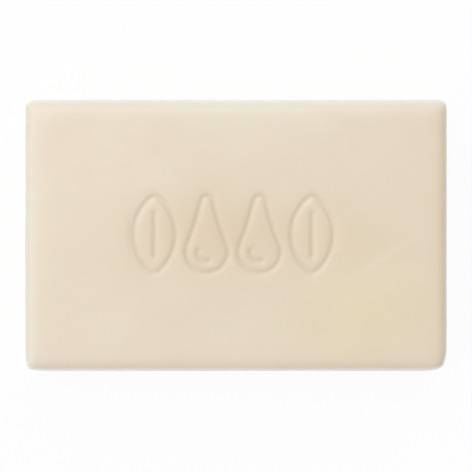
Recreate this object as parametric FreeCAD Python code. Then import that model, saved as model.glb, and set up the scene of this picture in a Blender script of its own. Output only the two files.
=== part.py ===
import FreeCAD, Part
import math
import os

# A bar of milled soap, pressed in one piece between two dies.
#
# The bar lies on its broad back face, which is the plane z = 0. The origin is under the
# middle of the bar, +X runs along its length, +Y across its width and +Z out of the pressed
# face. Lengths are in millimetres and angles in degrees.
#
# Each die makes half of the thickness. Its walls lean inwards by the draft, its broad face is
# flat in the middle and rolls down near the sides, and its edges are rounded. Where the dies
# meet, a low bead is left all the way round. The upper die also presses a row of four plain
# motifs into the face, a leaf at each end and two drops between them, each drawn by a shallow
# groove.

# Size of the bar over its sides, where the dies meet
bar_length = 92.0
bar_width = 59.0
bar_height = 25.0

# Sides: lean of the die walls, the four upright corners as seen from above, and the edge
# between a side and a broad face
side_draft = 3.0
corner_radius_back_left = 2.6
corner_radius_back_right = 1.6
corner_radius_front_left = 2.3
corner_radius_front_right = 3.5
edge_radius = 2.0

# Broad faces: width of the margin that rolls down round the flat panel, and the radius of
# that roll
roll_width = 5.2
roll_radius = 30.0

# Bead where the dies meet
bead_proud = 0.12
bead_height = 0.7
bead_chamfer = 0.08

# Grooves of the pressed row: a flat floor, two sloping walls, and a shallow lip at the top of
# each wall, which eases it into the face
floor_width = 0.4
groove_width = 1.4
groove_depth = 0.45
lip_width = 0.3
lip_depth = 0.1

# Motifs, measured on the middle line of their grooves. The lands are the flat strips that
# stay between two grooves and inside a motif's tip.
motif_width = 9.0
motif_height = 16.4
motif_land = 0.3
tip_land = 0.3
row_shift_x = -0.5
row_shift_y = 0.2

# Leaf: length of the groove along its middle
midrib_length = 9.0

# Drop: slight hollow of its flanks, and the short curved groove inside its belly, with the angle
# that it spans on either side of the lower left
flank_radius = 60.0
crescent_radius = 2.0
crescent_half_angle = 50.0

# How far the roll, the cuts and the tools run past the surfaces that they meet
overrun = 1.0

half_height = bar_height / 2
half_length = bar_length / 2
half_width = bar_width / 2
face_inset = half_height * math.tan(math.radians(side_draft))
panel_half_length = half_length - roll_width
panel_half_width = half_width - roll_width

corner_radii = {
    (-1, 1): corner_radius_back_left,
    (1, 1): corner_radius_back_right,
    (-1, -1): corner_radius_front_left,
    (1, -1): corner_radius_front_right,
}

groove_half_width = groove_width / 2 + lip_width
tip_radius = groove_half_width + tip_land
motif_pitch = motif_width + 2 * groove_half_width + motif_land

UP = FreeCAD.Vector(0, 0, 1)
TOLERANCE = 1e-4
LIP_OVERRUN = 0.2


def point(x, y, z=0.0):
    """A point or direction."""
    return FreeCAD.Vector(x, y, z)


def direction(angle):
    """Unit vector in the plan, at an angle in degrees from +X."""
    return point(math.cos(math.radians(angle)), math.sin(math.radians(angle)))


def rectangle(half_x, half_y, z):
    """The four corners of a level rectangle about the middle, anticlockwise from above."""
    return [
        point(-half_x, -half_y, z),
        point(half_x, -half_y, z),
        point(half_x, half_y, z),
        point(-half_x, half_y, z),
    ]


def polygon_face(corners):
    """A flat face through these corners."""
    return Part.Face(Part.makePolygon(corners + corners[:1]))


def drafted_block():
    """Upper half of the bar with sharp edges: four flat sides that lean inwards."""
    base = rectangle(half_length, half_width, 0)
    top = rectangle(half_length - face_inset, half_width - face_inset, half_height)
    faces = [polygon_face(base[::-1]), polygon_face(top)]
    for i in range(4):
        j = (i + 1) % 4
        faces.append(polygon_face([base[i], base[j], top[j], top[i]]))
    return Part.makeSolid(Part.makeShell(faces))


def roll_section(start, outwards):
    """Face under the rolled margin, in the upright plane through start and outwards."""
    reach = 2 * roll_width + overrun
    centre = start - UP * roll_radius

    def on_roll(along):
        drop = math.sqrt(roll_radius**2 - along**2)
        return centre + outwards * along + UP * drop

    far = on_roll(reach)
    far_foot = point(far.x, far.y, -overrun)
    near_foot = point(start.x, start.y, -overrun)
    return Part.Face(
        Part.Wire(
            [
                Part.Arc(start, on_roll(reach / 2), far).toShape(),
                Part.makeLine(far, far_foot),
                Part.makeLine(far_foot, near_foot),
                Part.makeLine(near_foot, start),
            ]
        )
    )


def crown():
    """Solid under the broad face: the flat panel with its margin rolled down all round."""
    panel = rectangle(panel_half_length, panel_half_width, half_height)
    blocks = [polygon_face(panel).extrude(UP * -(half_height + overrun))]
    for quarter in range(4):
        corner = panel[(quarter + 2) % 4]
        next_corner = panel[(quarter + 3) % 4]
        section = roll_section(corner, direction(90 * quarter))
        blocks.append(section.revolve(corner, UP, 90))
        section = roll_section(corner, direction(90 * quarter + 90))
        blocks.append(section.extrude(next_corner - corner))
    return blocks[0].multiFuse(blocks[1:]).removeSplitter()


def edge_roundings(block):
    """(edge number, radius) for the four upright corners and the rim of the broad face."""
    roundings = []
    for number, edge in enumerate(block.Edges, 1):
        box = edge.BoundBox
        middle = edge.valueAt((edge.FirstParameter + edge.LastParameter) / 2)
        lean = middle.z * math.tan(math.radians(side_draft))
        on_end = abs(abs(middle.x) - half_length + lean) < TOLERANCE
        on_side = abs(abs(middle.y) - half_width + lean) < TOLERANCE
        if box.ZMax < TOLERANCE or not (on_end or on_side):
            continue
        if on_end and on_side:
            radius = corner_radii[(math.copysign(1, middle.x), math.copysign(1, middle.y))]
        else:
            radius = edge_radius
        roundings.append((number, radius))
    return roundings


def round_edges(block):
    """The block with its corners and its rim rounded in one go, each with its own radius."""
    document = FreeCAD.newDocument()
    base = document.addObject("Part::Feature", "block")
    base.Shape = block
    rounded = document.addObject("Part::Fillet", "rounded")
    rounded.Base = base
    rounded.Edges = [(number, radius, radius) for number, radius in edge_roundings(block)]
    document.recompute()
    return rounded.Shape.Solids[0]


def plain_half():
    """Half of the bar, from the plane where the dies meet up to its broad face."""
    block = drafted_block().common(crown()).removeSplitter().Solids[0]
    return round_edges(block)


# One side of the groove's section, as (distance from its middle, height above the face), from
# the floor up. The last point carries the lip's slope on, past the face.
groove_side = [
    (floor_width / 2, -groove_depth),
    (groove_width / 2, -lip_depth),
    (groove_half_width + lip_width * LIP_OVERRUN, lip_depth * LIP_OVERRUN),
]


def groove_section(at, across, sides):
    """Upright section of the groove tool through a point of its middle line.

    A whole section has both sides, 1 and -1, along across. A half section has one of them.
    """
    first = [(across * out * sides[0], height) for out, height in groove_side]
    if len(sides) == 2:
        second = [(across * out * sides[1], height) for out, height in groove_side]
    else:
        second = [(point(0, 0), groove_side[0][1]), (point(0, 0), groove_side[-1][1])]
    return polygon_face(
        [at + out + UP * (half_height + height) for out, height in first + second[::-1]]
    )


def arc_groove(centre, radius, start, turn):
    """Groove tool along an arc, from the start angle through the turn."""
    outwards = direction(start)
    section = groove_section(centre + outwards * radius, outwards, (1, -1))
    return section.revolve(centre, UP, turn)


def line_groove(start, end):
    """Groove tool along a straight line."""
    across = UP.cross(end - start).normalize()
    return groove_section(start, across, (1, -1)).extrude(end - start)


def round_end(at):
    """Round end of a groove tool."""
    return groove_section(at, point(1, 0), (1,)).revolve(at, UP, 360)


def joined(pieces):
    """The pieces of one groove as one solid."""
    return pieces[0].multiFuse(pieces[1:]).removeSplitter()


def leaf_grooves(middle):
    """Leaf: two long arcs that meet in two round tips, and a groove along the middle."""
    half_wide = motif_width / 2
    tip_offset = motif_height / 2 - tip_radius
    side_radius = (half_wide**2 - tip_radius**2 + tip_offset**2) / (
        2 * (half_wide - tip_radius)
    )
    side_centre = side_radius - half_wide
    half_turn = math.degrees(math.atan2(tip_offset, side_centre))
    tip_turn = 180 - 2 * half_turn
    outline = joined(
        [
            arc_groove(middle - point(side_centre, 0), side_radius, -half_turn, 2 * half_turn),
            arc_groove(middle + point(0, tip_offset), tip_radius, half_turn, tip_turn),
            arc_groove(
                middle + point(side_centre, 0), side_radius, 180 - half_turn, 2 * half_turn
            ),
            arc_groove(
                middle - point(0, tip_offset), tip_radius, 180 + half_turn, tip_turn
            ),
        ]
    )
    rib_end = point(0, midrib_length / 2)
    midrib = joined(
        [
            line_groove(middle - rib_end, middle + rib_end),
            round_end(middle - rib_end),
            round_end(middle + rib_end),
        ]
    )
    return [outline, midrib]


def drop_grooves(middle):
    """Drop: a round belly, two hollow flanks and a round tip, with a crescent in the belly."""
    belly_radius = motif_width / 2
    belly = middle - point(0, motif_height / 2 - belly_radius)
    tip = middle + point(0, motif_height / 2 - tip_radius)
    rise = (tip - belly).Length
    to_belly = flank_radius + belly_radius
    to_tip = flank_radius + tip_radius
    up = (to_belly**2 - to_tip**2 + rise**2) / (2 * rise)
    out = math.sqrt(to_belly**2 - up**2)
    belly_angle = math.degrees(math.atan2(up, out))
    tip_angle = math.degrees(math.atan2(up - rise, out))
    flank_turn = belly_angle - tip_angle
    right = belly + point(out, up)
    left = belly + point(-out, up)
    outline = joined(
        [
            arc_groove(belly, belly_radius, 180 - belly_angle, 180 + 2 * belly_angle),
            arc_groove(right, flank_radius, 180 + tip_angle, flank_turn),
            arc_groove(tip, tip_radius, tip_angle, 180 - 2 * tip_angle),
            arc_groove(left, flank_radius, -belly_angle, flank_turn),
        ]
    )
    first = 225 - crescent_half_angle
    last = 225 + crescent_half_angle
    crescent = joined(
        [
            arc_groove(belly, crescent_radius, first, last - first),
            round_end(belly + direction(first) * crescent_radius),
            round_end(belly + direction(last) * crescent_radius),
        ]
    )
    return [outline, crescent]


def pressed_row():
    """Every groove of the row: leaf, drop, drop, leaf."""
    grooves = []
    for place, motif in ((-1.5, leaf_grooves), (-0.5, drop_grooves)):
        for side in (1, -1):
            middle = point(row_shift_x + side * place * motif_pitch, row_shift_y)
            grooves.extend(motif(middle))
    return grooves


def bead():
    """Low bead round the middle of the sides, following their corners."""
    half_x = half_length + bead_proud
    half_y = half_width + bead_proud
    block = Part.makeBox(
        2 * half_x, 2 * half_y, bead_height, point(-half_x, -half_y, -bead_height / 2)
    )
    for corner, radius in corner_radii.items():
        uprights = [
            edge
            for edge in block.Edges
            if edge.BoundBox.ZLength > bead_height / 2
            and edge.CenterOfMass.x * corner[0] > half_x - TOLERANCE
            and edge.CenterOfMass.y * corner[1] > half_y - TOLERANCE
        ]
        block = block.makeFillet(radius + bead_proud, uprights)
    rims = [edge for edge in block.Edges if edge.BoundBox.ZLength < TOLERANCE]
    return block.makeChamfer(bead_chamfer, rims)


def soap_bar():
    """The whole bar, resting on its back face."""
    lower = plain_half().mirror(point(0, 0), UP)
    upper = plain_half().cut(pressed_row())
    bar = upper.multiFuse([lower, bead()]).removeSplitter()
    bar.translate(UP * half_height)
    return bar.Solids[0]


def main():
    """Writes each piece of the object to its own file. The bar is one piece."""
    os.makedirs("parts", exist_ok=True)
    bar = soap_bar()
    bar.exportStep("parts/soap_bar.step")
    print("soap_bar:", round(bar.Volume / 1000, 2), "cm3,", "valid:", bar.isValid())


main()
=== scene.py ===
"""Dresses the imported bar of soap: one pressed bar on a white table, seen from straight above.

The bar is built as a coarse cage with mesh operators, smoothed by subdivision, and then
pressed with a row of leaf and drop outlines. Lengths are in metres and in the CAD model's
frame: the bar lies on z = 0, with its length along X, its width along Y and the pressed face
on top.
"""

import logging
import math
from collections.abc import Callable
from dataclasses import dataclass, field
from enum import Enum

import bmesh
import bpy
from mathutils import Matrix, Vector


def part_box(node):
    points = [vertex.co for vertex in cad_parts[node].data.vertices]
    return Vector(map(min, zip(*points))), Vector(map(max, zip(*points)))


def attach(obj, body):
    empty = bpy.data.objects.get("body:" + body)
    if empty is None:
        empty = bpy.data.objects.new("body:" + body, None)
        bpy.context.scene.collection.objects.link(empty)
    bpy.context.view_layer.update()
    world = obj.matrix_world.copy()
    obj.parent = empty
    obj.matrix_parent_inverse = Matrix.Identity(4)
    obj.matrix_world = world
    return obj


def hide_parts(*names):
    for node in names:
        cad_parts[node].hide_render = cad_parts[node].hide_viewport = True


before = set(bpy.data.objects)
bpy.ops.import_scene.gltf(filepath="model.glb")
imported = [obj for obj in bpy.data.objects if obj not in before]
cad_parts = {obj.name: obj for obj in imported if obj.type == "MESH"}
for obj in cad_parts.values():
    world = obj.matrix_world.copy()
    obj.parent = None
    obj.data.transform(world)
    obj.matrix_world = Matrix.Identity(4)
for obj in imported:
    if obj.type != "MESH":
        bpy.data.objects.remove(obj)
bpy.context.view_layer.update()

MM = 0.001
NODE = "soap_bar"
PRESSED_IN = "pressed_in"

# The sRGB curve: where its straight foot ends, and the numbers of both parts.
SRGB_TOP = 255
SRGB_BEND = 0.04045
SRGB_FOOT = 12.92
SRGB_OFFSET = 0.055
SRGB_POWER = 2.4

# Sockets of a Mix node that mixes two colours.
MIX_UNDER = 6
MIX_OVER = 7
MIX_RESULT = 2

# How near a point lies to a cutting plane, a level, a corner and the face, to count as on it.
ON_CUT = 1e-7
ON_LEVEL = 1e-6
AT_CORNER = 1 * MM
ON_FACE = 0.3 * MM

# Smoothing pulls a corner of the cage in by a sixth of the step beside it, and passes on two
# thirds of how far the corner is moved.
CORNER_PULL = 6
CORNER_GAIN = 1.5

# Arcs are drawn in steps of at most this angle, and at least so many of them.
ARC_STEP = math.radians(5)
FEWEST_ARC_STEPS = 6

log = logging.getLogger("soap_scene")


class Side(Enum):
    """A side of the bar as it lies: the axis across it, and which end of that axis it is."""

    LEFT = (0, -1)
    RIGHT = (0, 1)
    BACK = (1, 1)
    FRONT = (1, -1)


class Corner(Enum):
    """An upright corner of the bar, by its signs along X and Y."""

    BACK_LEFT = (-1, 1)
    BACK_RIGHT = (1, 1)
    FRONT_LEFT = (-1, -1)
    FRONT_RIGHT = (1, -1)


def linear(colour: str) -> tuple[float, float, float, float]:
    """Turns an sRGB hex colour to linear light.

    Args:
        colour: the colour as "#RRGGBB".

    Returns:
        Linear red, green and blue, with an alpha of 1.
    """
    channels = [int(colour[i : i + 2], 16) / SRGB_TOP for i in (1, 3, 5)]
    lit = [
        c / SRGB_FOOT
        if c <= SRGB_BEND
        else ((c + SRGB_OFFSET) / (1 + SRGB_OFFSET)) ** SRGB_POWER
        for c in channels
    ]
    return (lit[0], lit[1], lit[2], 1.0)


def on_circle(radius: float, angle: float) -> Vector:
    """Point of a circle about the origin, in the plan."""
    return Vector((radius * math.cos(angle), radius * math.sin(angle)))


def add_node(
    tree: bpy.types.NodeTree,
    kind: str,
    settings: dict[str | int, object] | None = None,
    links: dict[str | int, bpy.types.NodeSocket] | None = None,
) -> bpy.types.Node:
    """Adds a node with its settings and links.

    Args:
        tree: the node tree that the node goes in.
        kind: the node's type, such as "ShaderNodeBump".
        settings: values by attribute name, or by input name or number.
        links: output sockets by the input that each one feeds.

    Returns:
        The new node.
    """
    node = tree.nodes.new(kind)
    for name, value in (settings or {}).items():
        if isinstance(name, str) and hasattr(node, name):
            setattr(node, name, value)
        else:
            node.inputs[name].default_value = value
    for name, socket in (links or {}).items():
        tree.links.new(socket, node.inputs[name])
    return node


def seen_directly(tree: bpy.types.NodeTree) -> bpy.types.NodeSocket:
    """Tells the rays that show a surface from those that only light the bar by it.

    Args:
        tree: the node tree that asks.

    Returns:
        1 for a ray from the camera, a mirror or a glass, and 0 for any other.
    """
    ray = add_node(tree, "ShaderNodeLightPath")
    mirrored = add_node(
        tree,
        "ShaderNodeMath",
        {"operation": "MAXIMUM"},
        {0: ray.outputs["Is Camera Ray"], 1: ray.outputs["Is Glossy Ray"]},
    )
    shown = add_node(
        tree,
        "ShaderNodeMath",
        {"operation": "MAXIMUM"},
        {0: mirrored.outputs[0], 1: ray.outputs["Is Transmission Ray"]},
    )
    return shown.outputs[0]


def select_only(piece: bpy.types.Object) -> None:
    """Makes one object the only one that operators act on."""
    bpy.ops.object.select_all(action="DESELECT")
    piece.select_set(True)
    bpy.context.view_layer.objects.active = piece


def pick_points(piece: bpy.types.Object, wanted: Callable[[Vector], bool]) -> None:
    """Selects, in edit mode, the points whose place passes a test, and no others.

    Args:
        piece: the mesh in edit mode.
        wanted: tells from a point's place whether it is picked.
    """
    bpy.ops.mesh.select_mode(type="VERT")
    bpy.ops.mesh.select_all(action="DESELECT")
    edited = bmesh.from_edit_mesh(piece.data)
    for vertex in edited.verts:
        vertex.select = wanted(vertex.co)
    edited.select_flush_mode()
    bmesh.update_edit_mesh(piece.data)


def add_group(piece: bpy.types.Object, name: str, floor: float) -> str:
    """Puts every point above a height in a new group, at full weight.

    Args:
        piece: the mesh.
        name: name of the group.
        floor: height that the points lie above.

    Returns:
        The group's name, which stays good when modifiers are applied.
    """
    above = [vertex.index for vertex in piece.data.vertices if vertex.co.z > floor]
    piece.vertex_groups.new(name=name).add(above, 1.0, "REPLACE")
    return name


def apply_modifier(piece: bpy.types.Object, kind: str, settings: dict[str, object]) -> None:
    """Adds a modifier and applies it at once.

    Args:
        piece: the mesh that takes it.
        kind: the modifier's type.
        settings: its values, by attribute name.
    """
    select_only(piece)
    bpy.ops.object.modifier_add(type=kind)
    modifier = piece.modifiers[-1]
    for name, value in settings.items():
        setattr(modifier, name, value)
    bpy.ops.object.modifier_apply(modifier=modifier.name)


@dataclass(frozen=True)
class Patch:
    """A long soft patch of another tone. Some are drawn out by the plodder; the rest are
    painted shade and painted sheen.

    Attributes:
        tone: its colour.
        middle: where it lies.
        half_size: how far it reaches each way before it has faded out.
        angle: its slant in the plan, in degrees.
        share: how much of its colour shows in its middle.
    """

    tone: str
    middle: tuple[float, float, float]
    half_size: tuple[float, float, float]
    angle: float
    share: float

    def paint(
        self,
        tree: bpy.types.NodeTree,
        place: bpy.types.NodeSocket,
        under: bpy.types.NodeSocket,
    ) -> bpy.types.NodeSocket:
        """Lays the patch over a colour.

        Args:
            tree: the material's nodes.
            place: Object coordinates.
            under: the colour that it lies on.

        Returns:
            The colour with the patch.
        """
        centred = add_node(
            tree,
            "ShaderNodeMapping",
            {
                "vector_type": "TEXTURE",
                "Location": self.middle,
                "Rotation": (0, 0, math.radians(self.angle)),
                "Scale": self.half_size,
            },
            {"Vector": place},
        )
        off_middle = add_node(
            tree,
            "ShaderNodeVectorMath",
            {"operation": "LENGTH"},
            {0: centred.outputs["Vector"]},
        )
        share = add_node(
            tree,
            "ShaderNodeMapRange",
            {"interpolation_type": "SMOOTHSTEP", "To Min": self.share, "To Max": 0.0},
            {"Value": off_middle.outputs["Value"]},
        )
        mixed = add_node(
            tree,
            "ShaderNodeMix",
            {"data_type": "RGBA", MIX_OVER: linear(self.tone)},
            {0: share.outputs["Result"], MIX_UNDER: under},
        )
        return mixed.outputs[MIX_RESULT]


@dataclass(frozen=True)
class MilledSoap:
    """Milled soap, plodded and pressed: dense, slightly translucent, with a waxy skin.

    Light goes a little way in and comes out warm, so small edges look soft. The skin has a
    broad satin sheen and a thin bloom. Milling leaves faint streaks, a pale vein, and patches
    that are yellower than the rest. The face is darker towards its middle, and round the
    pressed row that is painted shade. The margins at the left end and the back are paler with
    painted sheen, those at the right end and the front are warmer with painted shade, and the
    pressed lines hold a darker painted shade.
    """

    body: str = "#E8DAC3"
    streak: str = "#ECDFCE"
    streak_width: float = 16 * MM
    streak_stretch: float = 2.6
    streak_angle: float = math.radians(35)
    streak_range: tuple[float, float] = (0.4, 0.7)
    streak_share: float = 0.45
    blush: str = "#E5D1BD"
    blush_width: float = 11 * MM
    blush_range: tuple[float, float] = (0.42, 0.7)
    blush_share: float = 0.3
    patches: tuple[Patch, ...] = (
        # Darker towards the middle of the face; round the pressed row this is painted shade.
        Patch("#DCCBB0", (-2 * MM, -1.5 * MM, 0.0), (46 * MM, 26 * MM, 60 * MM), 0, 0.36),
        Patch("#DFC9AA", (-3 * MM, 0.5 * MM, 0.0), (30 * MM, 13 * MM, 60 * MM), 0, 0.75),
        # Yellower beside the row and towards the front right corner.
        Patch("#E0CFA7", (24 * MM, -1.5 * MM, 0.0), (21 * MM, 12 * MM, 60 * MM), -10, 0.5),
        Patch("#E8DAA4", (28 * MM, -16.5 * MM, 0.0), (30 * MM, 16 * MM, 60 * MM), 8, 0.6),
        # A thin pale vein.
        Patch("#EFE4D6", (32 * MM, -4.6 * MM, 0.0), (12 * MM, 1.9 * MM, 60 * MM), 33, 0.5),
        # Paler inside the margins at the left end and the back, in the upper half alone:
        # painted sheen.
        Patch("#ECE8CF", (-3 * MM, 33 * MM, 25 * MM), (64 * MM, 16 * MM, 9 * MM), 0, 0.8),
        Patch("#ECE6CF", (-49 * MM, 3 * MM, 25 * MM), (17 * MM, 42 * MM, 9 * MM), 0, 0.5),
        # Warmer along the right end and the front: painted shade of the sides turned from the
        # key light.
        Patch("#EDD5B0", (45.2 * MM, 0.0, 22 * MM), (2.6 * MM, 62 * MM, 8 * MM), 0, 0.6),
        Patch("#F2DABA", (0.0, -29.4 * MM, 22 * MM), (110 * MM, 2.6 * MM, 8 * MM), 0, 0.35),
    )
    # A paler tone painted on the upper margins at the left end and the back: painted sheen.
    painted_sheen_tone: str = "#E9E5D9"
    rim_start: tuple[float, float] = (-41.5 * MM, 25.0 * MM)
    rim_end: tuple[float, float] = (-46.5 * MM, 29.8 * MM)
    rim_foot: float = 19 * MM
    rim_top: float = 24 * MM
    rim_share: float = 0.9
    # A darker tone painted into the pressed lines: painted shade.
    painted_groove_shade: str = "#C9B79E"
    groove_shade_share: float = 0.2
    satin_range: tuple[float, float] = (0.3, 0.7)
    satin: tuple[float, float] = (0.36, 0.46)
    relief_share: float = 0.1
    hollow_depth: float = 0.3 * MM
    grain_width: float = 0.7 * MM
    grain_depth: float = 0.05 * MM
    ior: float = 1.46
    coat: float = 0.25
    coat_roughness: float = 0.3
    bloom: float = 0.8
    bloom_roughness: float = 0.45
    scatter: float = 0.3
    scatter_reach: tuple[float, float, float] = (1.0, 0.8, 0.65)
    scatter_depth: float = 0.8 * MM

    def make(self) -> bpy.types.Material:
        """Builds the material.

        Returns:
            The material, with all its patterns on Object coordinates.
        """
        material = bpy.data.materials.new("milled_soap_pressed")
        material.use_nodes = True
        tree = material.node_tree
        tree.nodes.clear()
        place = add_node(tree, "ShaderNodeTexCoord").outputs["Object"]
        mottling = add_node(
            tree,
            "ShaderNodeTexNoise",
            {"Scale": 1 / self.blush_width, "Detail": 4, "Roughness": 0.5},
            {"Vector": place},
        )
        shader = add_node(
            tree,
            "ShaderNodeBsdfPrincipled",
            {
                "IOR": self.ior,
                "Coat Weight": self.coat,
                "Coat Roughness": self.coat_roughness,
                "Sheen Weight": self.bloom,
                "Sheen Roughness": self.bloom_roughness,
                "Subsurface Weight": self.scatter,
                "Subsurface Radius": self.scatter_reach,
                "Subsurface Scale": self.scatter_depth,
            },
            {
                "Base Color": self.colour(tree, place, mottling.outputs["Fac"]),
                "Roughness": self.gloss(tree, mottling.outputs["Fac"]),
                "Normal": self.skin(tree, place, mottling.outputs["Fac"]),
            },
        )
        add_node(
            tree,
            "ShaderNodeOutputMaterial",
            links={"Surface": shader.outputs["BSDF"]},
        )
        return material

    def colour(
        self,
        tree: bpy.types.NodeTree,
        place: bpy.types.NodeSocket,
        mottling: bpy.types.NodeSocket,
    ) -> bpy.types.NodeSocket:
        """Colours the soap: streaks, patches, blushes, painted sheen on two margins and painted
        shade in the pressed lines.

        Args:
            tree: the material's nodes.
            place: Object coordinates.
            mottling: soft noise, about a centimetre wide.

        Returns:
            The base colour.
        """
        coloured = self.streaks(tree, place)
        for patch in self.patches:
            coloured = patch.paint(tree, place, coloured)
        blush_share = add_node(
            tree,
            "ShaderNodeMapRange",
            {
                "From Min": self.blush_range[0],
                "From Max": self.blush_range[1],
                "To Min": 0.0,
                "To Max": self.blush_share,
            },
            {"Value": mottling},
        )
        blushed = add_node(
            tree,
            "ShaderNodeMix",
            {"data_type": "RGBA", MIX_OVER: linear(self.blush)},
            {0: blush_share.outputs["Result"], MIX_UNDER: coloured},
        )
        # Painted sheen: paler margins at the left end and the back.
        rimmed = add_node(
            tree,
            "ShaderNodeMix",
            {"data_type": "RGBA", MIX_OVER: linear(self.painted_sheen_tone)},
            {0: self.painted_sheen_share(tree, place), MIX_UNDER: blushed.outputs[MIX_RESULT]},
        )
        # Painted shade in the pressed lines, by how deep each point was pressed.
        pressed = add_node(tree, "ShaderNodeAttribute", {"attribute_name": PRESSED_IN})
        groove_shade = add_node(
            tree,
            "ShaderNodeMath",
            {"operation": "MULTIPLY", 1: self.groove_shade_share},
            {0: pressed.outputs["Fac"]},
        )
        lined = add_node(
            tree,
            "ShaderNodeMix",
            {"data_type": "RGBA", MIX_OVER: linear(self.painted_groove_shade)},
            {0: groove_shade.outputs[0], MIX_UNDER: rimmed.outputs[MIX_RESULT]},
        )
        return lined.outputs[MIX_RESULT]

    def streaks(
        self, tree: bpy.types.NodeTree, place: bpy.types.NodeSocket
    ) -> bpy.types.NodeSocket:
        """Lays the paler streaks of milling over the soap's own colour.

        Args:
            tree: the material's nodes.
            place: Object coordinates.

        Returns:
            The colour with the streaks.
        """
        drawn_out = add_node(
            tree,
            "ShaderNodeMapping",
            {
                "vector_type": "TEXTURE",
                "Rotation": (0, 0, self.streak_angle),
                "Scale": (self.streak_stretch, 1, 1),
            },
            {"Vector": place},
        )
        pattern = add_node(
            tree,
            "ShaderNodeTexNoise",
            {"Scale": 1 / self.streak_width, "Detail": 2, "Roughness": 0.45, "Distortion": 0.6},
            {"Vector": drawn_out.outputs["Vector"]},
        )
        share = add_node(
            tree,
            "ShaderNodeMapRange",
            {
                "From Min": self.streak_range[0],
                "From Max": self.streak_range[1],
                "To Min": 0.0,
                "To Max": self.streak_share,
            },
            {"Value": pattern.outputs["Fac"]},
        )
        streaked = add_node(
            tree,
            "ShaderNodeMix",
            {
                "data_type": "RGBA",
                MIX_UNDER: linear(self.body),
                MIX_OVER: linear(self.streak),
            },
            {0: share.outputs["Result"]},
        )
        return streaked.outputs[MIX_RESULT]

    def painted_sheen_share(
        self, tree: bpy.types.NodeTree, place: bpy.types.NodeSocket
    ) -> bpy.types.NodeSocket:
        """Finds how much painted sheen the margins along the left end and the back side get.

        Args:
            tree: the material's nodes.
            place: Object coordinates.

        Returns:
            The share of the painted sheen colour, which fades out over a few millimetres.
        """
        along = add_node(tree, "ShaderNodeSeparateXYZ", links={0: place})
        margins = [
            add_node(
                tree,
                "ShaderNodeMapRange",
                {
                    "interpolation_type": "SMOOTHSTEP",
                    "From Min": self.rim_start[axis],
                    "From Max": self.rim_end[axis],
                },
                {"Value": along.outputs[axis]},
            )
            for axis in (0, 1)
        ]
        nearer_rim = add_node(
            tree,
            "ShaderNodeMath",
            {"operation": "MAXIMUM"},
            {0: margins[0].outputs["Result"], 1: margins[1].outputs["Result"]},
        )
        upper = add_node(
            tree,
            "ShaderNodeMapRange",
            {
                "interpolation_type": "SMOOTHSTEP",
                "From Min": self.rim_foot,
                "From Max": self.rim_top,
                "To Max": self.rim_share,
            },
            {"Value": along.outputs["Z"]},
        )
        sheen_share = add_node(
            tree,
            "ShaderNodeMath",
            {"operation": "MULTIPLY"},
            {0: nearer_rim.outputs[0], 1: upper.outputs["Result"]},
        )
        return sheen_share.outputs[0]

    def gloss(
        self, tree: bpy.types.NodeTree, mottling: bpy.types.NodeSocket
    ) -> bpy.types.NodeSocket:
        """Varies the satin of the skin a little.

        Args:
            tree: the material's nodes.
            mottling: soft noise, about a centimetre wide.

        Returns:
            The roughness.
        """
        satin = add_node(
            tree,
            "ShaderNodeMapRange",
            {
                "From Min": self.satin_range[0],
                "From Max": self.satin_range[1],
                "To Min": self.satin[0],
                "To Max": self.satin[1],
            },
            {"Value": mottling},
        )
        return satin.outputs["Result"]

    def skin(
        self,
        tree: bpy.types.NodeTree,
        place: bpy.types.NodeSocket,
        mottling: bpy.types.NodeSocket,
    ) -> bpy.types.NodeSocket:
        """Gives the skin faint hollows and a fine waxy grain.

        Args:
            tree: the material's nodes.
            place: Object coordinates.
            mottling: soft noise, about a centimetre wide.

        Returns:
            The normal.
        """
        hollows = add_node(
            tree,
            "ShaderNodeBump",
            {"Strength": self.relief_share, "Distance": self.hollow_depth},
            {"Height": mottling},
        )
        # The real grain is finer. It is drawn as coarse as it needs to show.
        grain = add_node(
            tree,
            "ShaderNodeTexNoise",
            {"Scale": 1 / self.grain_width, "Detail": 2, "Roughness": 0.55},
            {"Vector": place},
        )
        waxy = add_node(
            tree,
            "ShaderNodeBump",
            {"Strength": self.relief_share, "Distance": self.grain_depth},
            {"Height": grain.outputs["Fac"], "Normal": hollows.outputs["Normal"]},
        )
        return waxy.outputs["Normal"]


@dataclass(frozen=True)
class Arc:
    """One arc of a motif's outline: the pen goes round a centre, through an angle."""

    centre: Vector
    turn: float


@dataclass(frozen=True)
class PenLine:
    """The middle line of one groove, drawn arc by arc or straight to its end.

    Attributes:
        start: where the pen goes down.
        arcs: the arcs that it follows, in order.
        end: where it goes straight to, when the groove has no arcs.
    """

    start: Vector
    arcs: tuple[Arc, ...] = ()
    end: Vector | None = None

    def draw(self, height: float) -> bpy.types.Object:
        """Draws the line as a chain of edges.

        Args:
            height: z of the face that it is drawn on.

        Returns:
            A mesh of edges only.
        """
        bpy.ops.object.select_all(action="DESELECT")
        bpy.ops.mesh.primitive_plane_add(size=MM, location=(0, 0, 0))
        chain = bpy.context.object
        bpy.ops.object.mode_set(mode="EDIT")
        bpy.ops.mesh.select_all(action="SELECT")
        bpy.ops.mesh.merge(type="CENTER")
        bpy.ops.transform.translate(value=(self.start.x, self.start.y, height))
        for arc in self.arcs:
            bpy.ops.mesh.spin(
                steps=max(FEWEST_ARC_STEPS, int(abs(arc.turn) / ARC_STEP)),
                angle=arc.turn,
                center=(arc.centre.x, arc.centre.y, height),
                axis=(0, 0, -1),
            )
        if self.end is not None:
            step = self.end - self.start
            bpy.ops.mesh.extrude_region_move(
                TRANSFORM_OT_translate={"value": (step.x, step.y, 0)}
            )
        bpy.ops.object.mode_set(mode="OBJECT")
        return chain


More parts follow.
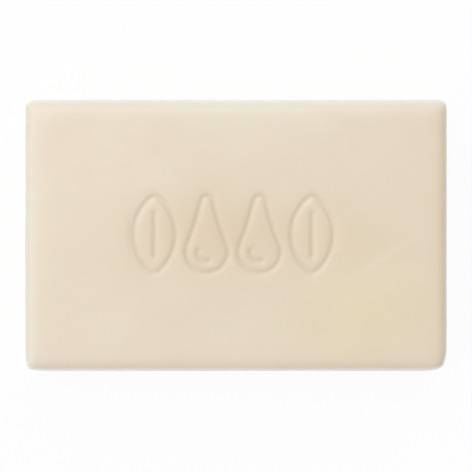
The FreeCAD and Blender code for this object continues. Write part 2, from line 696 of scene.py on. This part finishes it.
@dataclass(frozen=True)
class PressedRow:
    """The row of motifs that the upper die presses: leaf, drop, drop, leaf.

    Attributes:
        leaf_place: how many pitches a leaf stands from the middle of the row.
        drop_place: how many pitches a drop stands from it.
        crescent_direction: where in the belly of a drop its crescent lies.
    """

    motif_width: float = 9.0 * MM
    motif_height: float = 16.4 * MM
    pitch: float = 11.3 * MM
    leaf_place: float = 1.5
    drop_place: float = 0.5
    tip_radius: float = 1.3 * MM
    midrib_length: float = 9.0 * MM
    flank_radius: float = 60.0 * MM
    crescent_radius: float = 2.0 * MM
    crescent_half_angle: float = math.radians(50)
    crescent_direction: float = math.radians(225)
    middle: Vector = field(default_factory=lambda: Vector((-0.5 * MM, 0.2 * MM)))
    groove_reach: float = 1.0 * MM
    groove_depth: float = 0.24 * MM
    shoulder_reach: float = 2.2 * MM
    shoulder_depth: float = 0.07 * MM

    def leaf(self, middle: Vector) -> list[PenLine]:
        """A leaf: two long arcs and two round tips, with a straight midrib.

        Args:
            middle: the leaf's middle.

        Returns:
            The outline and the midrib.
        """
        half_wide = self.motif_width / 2
        tip_offset = self.motif_height / 2 - self.tip_radius
        side_radius = (half_wide**2 - self.tip_radius**2 + tip_offset**2) / (
            2 * (half_wide - self.tip_radius)
        )
        side_centre = side_radius - half_wide
        half_turn = math.atan2(tip_offset, side_centre)
        tip_turn = math.pi - 2 * half_turn
        start = middle + Vector((-side_centre, 0)) + on_circle(side_radius, -half_turn)
        outline = PenLine(
            start,
            (
                Arc(middle + Vector((-side_centre, 0)), 2 * half_turn),
                Arc(middle + Vector((0, tip_offset)), tip_turn),
                Arc(middle + Vector((side_centre, 0)), 2 * half_turn),
                Arc(middle + Vector((0, -tip_offset)), tip_turn),
            ),
        )
        rib_end = Vector((0, self.midrib_length / 2))
        return [outline, PenLine(middle - rib_end, end=middle + rib_end)]

    def drop(self, middle: Vector) -> list[PenLine]:
        """A drop: a round belly, two slightly hollow flanks and a round tip.

        Args:
            middle: the drop's middle.

        Returns:
            The outline, and the crescent in its belly.
        """
        belly_radius = self.motif_width / 2
        belly = middle - Vector((0, self.motif_height / 2 - belly_radius))
        tip = middle + Vector((0, self.motif_height / 2 - self.tip_radius))
        rise = (tip - belly).length
        to_belly = self.flank_radius + belly_radius
        to_tip = self.flank_radius + self.tip_radius
        up = (to_belly**2 - to_tip**2 + rise**2) / (2 * rise)
        out = math.sqrt(to_belly**2 - up**2)
        belly_angle = math.atan2(up, out)
        tip_angle = math.atan2(up - rise, out)
        outline = PenLine(
            belly + on_circle(belly_radius, math.pi - belly_angle),
            (
                Arc(belly, math.pi + 2 * belly_angle),
                Arc(belly + Vector((out, up)), tip_angle - belly_angle),
                Arc(tip, math.pi - 2 * tip_angle),
                Arc(belly + Vector((-out, up)), tip_angle - belly_angle),
            ),
        )
        first = self.crescent_direction - self.crescent_half_angle
        crescent = PenLine(
            belly + on_circle(self.crescent_radius, first),
            (Arc(belly, 2 * self.crescent_half_angle),),
        )
        return [outline, crescent]

    def lines(self) -> list[PenLine]:
        """Every line of the row."""
        step = Vector((self.pitch, 0))
        drawn = []
        for place, motif in ((self.leaf_place, self.leaf), (self.drop_place, self.drop)):
            drawn += motif(self.middle - step * place) + motif(self.middle + step * place)
        return drawn

    def press(self, piece: bpy.types.Object, height: float) -> None:
        """Presses the row into a finely divided face, and notes how deep each point went.

        Args:
            piece: the bar.
            height: z of its face.
        """
        before = [vertex.co.z for vertex in piece.data.vertices]
        chains = [line.draw(height) for line in self.lines()]
        bpy.ops.object.select_all(action="DESELECT")
        for chain in chains:
            chain.select_set(True)
        bpy.context.view_layer.objects.active = chains[0]
        bpy.ops.object.join()
        guide = chains[0]
        for reach, depth in (
            (self.shoulder_reach, self.shoulder_depth),
            (self.groove_reach, self.groove_depth),
        ):
            near_line = add_group(piece, "near_line", height - ON_FACE)
            apply_modifier(
                piece,
                "VERTEX_WEIGHT_PROXIMITY",
                {
                    "vertex_group": near_line,
                    "target": guide,
                    "proximity_mode": "GEOMETRY",
                    "proximity_geometry": {"EDGE"},
                    "falloff_type": "SMOOTH",
                    "min_dist": reach,
                    "max_dist": 0.0,
                },
            )
            apply_modifier(
                piece,
                "DISPLACE",
                {
                    "vertex_group": near_line,
                    "direction": "Z",
                    "mid_level": 0.0,
                    "strength": -depth,
                },
            )
            piece.vertex_groups.clear()
        bpy.data.objects.remove(guide)
        deepest = self.groove_depth + self.shoulder_depth
        sunk = piece.data.attributes.new(PRESSED_IN, "FLOAT", "POINT")
        for vertex, unpressed in zip(piece.data.vertices, before):
            sunk.data[vertex.index].value = (unpressed - vertex.co.z) / deepest


@dataclass
class SoapBar:
    """The bar: two die halves with leaning sides, rolled margins and a low parting bead.

    Attributes:
        low: lowest corner of the CAD node.
        high: highest corner of the CAD node.
        bead_rises: heights above the parting of the cage's loops on the bead.
        side_rises: heights above the parting of those on the leaning sides.
        corner_step: how far inside the silhouette the cage's outermost loops lie.
        inner_steps: how many such steps in the next loops lie.
        rim_allowance: how much further in than its lean the rim of a face is looked for.
        inner_share: how much of a rim's drop the loop inside it takes.
        top_level: height off the parting that only the broad faces lie beyond.
        length_cuts: places along X of the cage's loops in the middle.
        width_cuts: places along Y of those loops.
        row_zone: half the length and width of the finely divided part of the face.
        still_foot: height up to which the bar stays flat on the table.
    """

    low: Vector
    high: Vector
    draft: float = math.radians(3)
    bead_proud: float = 0.09 * MM
    bead_rises: tuple[float, ...] = (0.0, 0.22 * MM)
    side_rises: tuple[float, ...] = (0.42 * MM, 0.75 * MM, 3.0 * MM, 7.8 * MM)
    corner_radii: dict[Corner, float] = field(
        default_factory=lambda: {
            Corner.BACK_LEFT: 1.8 * MM,
            Corner.BACK_RIGHT: 1.6 * MM,
            Corner.FRONT_LEFT: 2.3 * MM,
            Corner.FRONT_RIGHT: 3.5 * MM,
        }
    )
    corner_step: float = 3.1 * MM
    inner_steps: float = 2.1
    rim_drops: dict[Side, float] = field(
        default_factory=lambda: {
            Side.LEFT: 0.34 * MM,
            Side.RIGHT: 0.22 * MM,
            Side.BACK: 0.34 * MM,
            Side.FRONT: 0.2 * MM,
        }
    )
    rim_allowance: float = 0.5 * MM
    inner_share: float = 0.1
    top_level: float = 10.0 * MM
    length_cuts: tuple[float, ...] = (-23.6 * MM, -12 * MM, 0.0, 11 * MM, 22.6 * MM)
    width_cuts: tuple[float, ...] = (-10 * MM, 0.2 * MM, 10.4 * MM)
    smoothing_levels: int = 3
    row_zone: tuple[float, float] = (22.6 * MM, 9.9 * MM)
    fine_cuts: int = 6
    waviness: float = 0.1 * MM
    wave_length: float = 24 * MM
    still_foot: float = 3 * MM
    row: PressedRow = field(default_factory=PressedRow)
    finish: MilledSoap = field(default_factory=MilledSoap)

    @property
    def half_length(self) -> float:
        """Half the length over the sides, without the bead."""
        return (self.high.x - self.low.x) / 2 - self.bead_proud

    @property
    def half_width(self) -> float:
        """Half the width over the sides, without the bead."""
        return (self.high.y - self.low.y) / 2 - self.bead_proud

    @property
    def parting(self) -> float:
        """Height of the plane where the dies meet."""
        return (self.low.z + self.high.z) / 2

    def lean(self, height: float) -> float:
        """How far the side has leaned in at a height."""
        return abs(height - self.parting) * math.tan(self.draft)

    def levels(self) -> dict[float, float]:
        """Heights of the cage's loops between the broad faces.

        Returns:
            How far each loop lies inside the silhouette, by its height.
        """
        rises = [(rise, self.bead_proud) for rise in self.bead_rises]
        rises += [(rise, 0.0) for rise in self.side_rises]
        found = {}
        for rise, proud in rises:
            for side in (-1, 1):
                height = self.parting + side * rise
                found[height] = self.lean(height) - proud
        return found

    def cut(self, axis: int, place: float) -> None:
        """Cuts the whole cage, in edit mode, with a plane square to an axis."""
        normal = [0.0, 0.0, 0.0]
        normal[axis] = 1.0
        bpy.ops.mesh.select_all(action="SELECT")
        bpy.ops.mesh.bisect(
            plane_co=[place * part for part in normal], plane_no=normal, threshold=ON_CUT
        )

    def shrink(self, piece: bpy.types.Object, height: float, inset: float) -> None:
        """Moves one level loop of the cage inwards by an inset."""
        pick_points(piece, lambda co: abs(co.z - height) < ON_LEVEL)
        bpy.ops.transform.resize(
            value=(1 - inset / self.half_length, 1 - inset / self.half_width, 1),
            center_override=(0, 0, height),
        )

    def cage(self) -> bpy.types.Object:
        """Makes the coarse cage of the bar.

        Returns:
            The cage, in object mode.
        """
        size = (2 * self.half_length, 2 * self.half_width, self.high.z - self.low.z)
        bpy.ops.object.select_all(action="DESELECT")
        bpy.ops.mesh.primitive_cube_add(size=1, location=(0, 0, self.parting), scale=size)
        piece = bpy.context.object
        piece.name = "pressed_soap_bar"
        bpy.ops.object.transform_apply(location=True, rotation=True, scale=True)
        bpy.ops.object.mode_set(mode="EDIT")
        for axis, half, middle_cuts in (
            (0, self.half_length, self.length_cuts),
            (1, self.half_width, self.width_cuts),
        ):
            outer = half - self.corner_step
            inner = half - self.inner_steps * self.corner_step
            for place in (-outer, -inner, *middle_cuts, inner, outer):
                self.cut(axis, place)
        for height in self.levels():
            self.cut(2, height)
        for height, inset in self.levels().items():
            self.shrink(piece, height, inset)
        for height in (self.low.z, self.high.z):
            self.shrink(piece, height, self.lean(height))
        self.roll_margin(piece)
        self.set_corners(piece)
        bpy.ops.object.mode_set(mode="OBJECT")
        return piece

    def roll_margin(self, piece: bpy.types.Object) -> None:
        """Lowers the rim of each broad face, side by side, and a little the loop inside it."""
        rim = self.lean(self.high.z) + self.rim_allowance
        for side, drop in self.rim_drops.items():
            axis, way = side.value
            half = (self.half_length, self.half_width)[axis]
            for reach, share in (
                (rim + self.corner_step, self.inner_share),
                (rim, 1 - self.inner_share),
            ):
                for face in (-1, 1):
                    pick_points(
                        piece,
                        lambda co: (co.z - self.parting) * face > self.top_level
                        and co[axis] * way > half - reach,
                    )
                    bpy.ops.transform.translate(value=(0, 0, -face * share * drop))

    def set_corners(self, piece: bpy.types.Object) -> None:
        """Moves each upright corner of the cage so that it smooths to its own radius."""
        for corner, radius in self.corner_radii.items():
            way_x, way_y = corner.value
            cut_off = (1 - math.sqrt(0.5)) * radius
            shift = CORNER_GAIN * (cut_off - self.corner_step / CORNER_PULL)
            pick_points(
                piece,
                lambda co: co.x * way_x > self.half_length - AT_CORNER
                and co.y * way_y > self.half_width - AT_CORNER,
            )
            bpy.ops.transform.translate(value=(-way_x * shift, -way_y * shift, 0))

    def divide_zone(self, piece: bpy.types.Object) -> None:
        """Divides the part of the face that the row is pressed into finely enough for it."""
        half_long, half_wide = self.row_zone
        middle = self.row.middle
        select_only(piece)
        bpy.ops.object.mode_set(mode="EDIT")
        pick_points(
            piece,
            lambda co: co.z > self.high.z - ON_FACE
            and abs(co.x - middle.x) < half_long
            and abs(co.y - middle.y) < half_wide,
        )
        bpy.ops.mesh.subdivide(number_cuts=self.fine_cuts, smoothness=0)
        bpy.ops.object.mode_set(mode="OBJECT")

    def make_uneven(self, piece: bpy.types.Object) -> None:
        """Gives the skin the slight waves of a bar that has dried and been handled."""
        waves = bpy.data.textures.new("drying_waves", "CLOUDS")
        waves.noise_scale = self.wave_length
        waves.noise_depth = 1
        free_skin = add_group(piece, "free_skin", self.low.z + self.still_foot)
        apply_modifier(
            piece,
            "DISPLACE",
            {
                "texture": waves,
                "texture_coords": "LOCAL",
                "vertex_group": free_skin,
                "strength": self.waviness,
                "mid_level": 0.5,
            },
        )
        piece.vertex_groups.clear()

    def build(self) -> bpy.types.Object:
        """Builds and dresses the bar.

        Returns:
            The finished piece, which stands for the CAD node.
        """
        piece = self.cage()
        apply_modifier(
            piece,
            "SUBSURF",
            {
                "levels": self.smoothing_levels,
                "render_levels": self.smoothing_levels,
                "use_limit_surface": True,
            },
        )
        self.make_uneven(piece)
        self.divide_zone(piece)
        self.row.press(piece, self.high.z)
        select_only(piece)
        bpy.ops.object.shade_smooth()
        piece.data.materials.clear()
        piece.data.materials.append(self.finish.make())
        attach(piece, "root")
        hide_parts(NODE)
        return piece


@dataclass(frozen=True)
class MattLaminate:
    """Matt white laminate, pressed: an even, glare-free white.

    Most of what the camera sees of it is its own white, so that it reads as paper white. The
    rest is lit, and keeps the bar's soft shadow.
    """

    surface: str = "#F4F3F0"
    roughness: float = 0.7
    specular: float = 0.2
    own_white: float = 0.94

    def make(self) -> bpy.types.Material:
        """Builds the material.

        Returns:
            The material, which only lights the bar by its lit part.
        """
        material = bpy.data.materials.new("matt_white_laminate")
        material.use_nodes = True
        tree = material.node_tree
        tree.nodes.clear()
        share = add_node(
            tree,
            "ShaderNodeMath",
            {"operation": "MULTIPLY", 1: self.own_white},
            {0: seen_directly(tree)},
        )
        matt = add_node(
            tree,
            "ShaderNodeBsdfPrincipled",
            {
                "Base Color": linear(self.surface),
                "Roughness": self.roughness,
                "Specular IOR Level": self.specular,
            },
        )
        white = add_node(
            tree,
            "ShaderNodeEmission",
            {"Color": linear("#FFFFFF"), "Strength": 1.0},
        )
        mixed = add_node(
            tree,
            "ShaderNodeMixShader",
            links={0: share.outputs[0], 1: matt.outputs["BSDF"], 2: white.outputs["Emission"]},
        )
        add_node(tree, "ShaderNodeOutputMaterial", links={"Surface": mixed.outputs["Shader"]})
        return material


@dataclass(frozen=True)
class WhiteTable:
    """The table top under the bar."""

    half_size: float = 2.0
    finish: MattLaminate = field(default_factory=MattLaminate)

    def build(self) -> bpy.types.Object:
        """Builds the table top.

        Returns:
            The floor under the bar.
        """
        bpy.ops.object.select_all(action="DESELECT")
        bpy.ops.mesh.primitive_plane_add(size=2 * self.half_size, location=(0, 0, 0))
        table = bpy.context.object
        table.name = "white_table"
        table.data.materials.append(self.finish.make())
        return table


@dataclass(frozen=True)
class SoftBox:
    """A square soft box, a metre away, that points at the bar.

    Attributes:
        name: the lamp's name.
        azimuth: where it stands, in degrees from +X as seen from above.
        elevation: how high it stands, in degrees from the table.
        size: length of its sides.
        power: in watts.
        mirrored: whether the bar's sheen shows it. A low box would flare across the face.
    """

    name: str
    azimuth: float
    elevation: float
    size: float
    power: float
    mirrored: bool = True
    distance: float = 1.0

    def build(self) -> bpy.types.Object:
        """Adds the lamp.

        Returns:
            The area lamp.
        """
        rise = math.radians(self.elevation)
        level = on_circle(self.distance * math.cos(rise), math.radians(self.azimuth))
        place = Vector((level.x, level.y, self.distance * math.sin(rise)))
        bpy.ops.object.light_add(type="AREA", location=place)
        lamp = bpy.context.object
        lamp.name = self.name
        lamp.data.shape = "SQUARE"
        lamp.data.size = self.size
        lamp.data.energy = self.power
        lamp.visible_glossy = self.mirrored
        lamp.rotation_euler = (-place).to_track_quat("-Z", "Y").to_euler()
        return lamp


@dataclass(frozen=True)
class Studio:
    """Soft light from the top of the picture, a white room, and the camera above the bar.

    Attributes:
        room_light: how strongly the room lights the bar. It shows as white.
        camera_distance: from the camera to the bar's parting plane.
        picture_width: in pixels, as the other two places in the picture.
        nearest: where the camera starts to see.
        farthest: where it stops.
    """

    room_light: float = 0.3
    camera_distance: float = 0.7
    picture_width: float = 472.0
    bar_width_in_picture: float = 421.4
    bar_centre_in_picture: tuple[float, float] = (236.0, 235.5)
    sensor: float = 36.0
    nearest: float = 10 * MM
    farthest: float = 20.0
    lamps: tuple[SoftBox, ...] = (
        SoftBox("key_soft_box", 130, 62, 0.9, 5.15),
        SoftBox("left_soft_box", 196, 35, 0.5, 2.2),
        SoftBox("back_soft_box", 60, 27, 0.4, 2.35, mirrored=False),
        SoftBox("front_soft_box", 275, 15, 0.4, 1.9, mirrored=False),
    )

    def light_room(self) -> None:
        """Fills the world with even white light, and shows it as white."""
        world = bpy.data.worlds.new("white_room")
        world.use_nodes = True
        tree = world.node_tree
        tree.nodes.clear()
        strength = add_node(
            tree,
            "ShaderNodeMapRange",
            {"To Min": self.room_light, "To Max": 1.0},
            {"Value": seen_directly(tree)},
        )
        room = add_node(
            tree,
            "ShaderNodeBackground",
            {"Color": linear("#FFFFFF")},
            {"Strength": strength.outputs["Result"]},
        )
        add_node(tree, "ShaderNodeOutputWorld", links={"Surface": room.outputs["Background"]})
        bpy.context.scene.world = world

    def place_camera(self, bar: SoapBar) -> bpy.types.Object:
        """Hangs the camera straight above the bar, as the photograph shows it.

        Args:
            bar: the bar, whose silhouette lies where its dies meet.

        Returns:
            The camera.
        """
        length = bar.high.x - bar.low.x
        pixel = length / self.bar_width_in_picture
        half = self.picture_width / 2
        aim_x = (half - self.bar_centre_in_picture[0]) * pixel
        aim_y = (self.bar_centre_in_picture[1] - half) * pixel
        bpy.ops.object.camera_add(
            location=(aim_x, aim_y, bar.parting + self.camera_distance), rotation=(0, 0, 0)
        )
        camera = bpy.context.object
        camera.name = "camera_above"
        camera.data.sensor_width = self.sensor
        camera.data.lens = self.sensor * self.camera_distance / (pixel * self.picture_width)
        camera.data.clip_start = self.nearest
        camera.data.clip_end = self.farthest
        bpy.context.scene.camera = camera
        return camera

    def build(self, bar: SoapBar) -> None:
        """Lights the room, adds the lamps and places the camera.

        Args:
            bar: the bar that the camera looks at.
        """
        self.light_room()
        for lamp in self.lamps:
            lamp.build()
        self.place_camera(bar)
        bpy.context.scene.view_settings.view_transform = "Standard"


def main() -> None:
    """Builds the bar, the table and the studio, and reports each piece."""
    logging.basicConfig(level=logging.INFO, format="%(name)s: %(message)s")
    low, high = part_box(NODE)
    bar = SoapBar(low, high)
    piece = bar.build()
    piece.data.calc_loop_triangles()
    log.info("%s: %d triangles", piece.name, len(piece.data.loop_triangles))
    table = WhiteTable().build()
    log.info("%s: floor", table.name)
    studio = Studio()
    studio.build(bar)
    log.info("studio: %d lamps", len(studio.lamps))


if __name__ == "__main__":
    main()
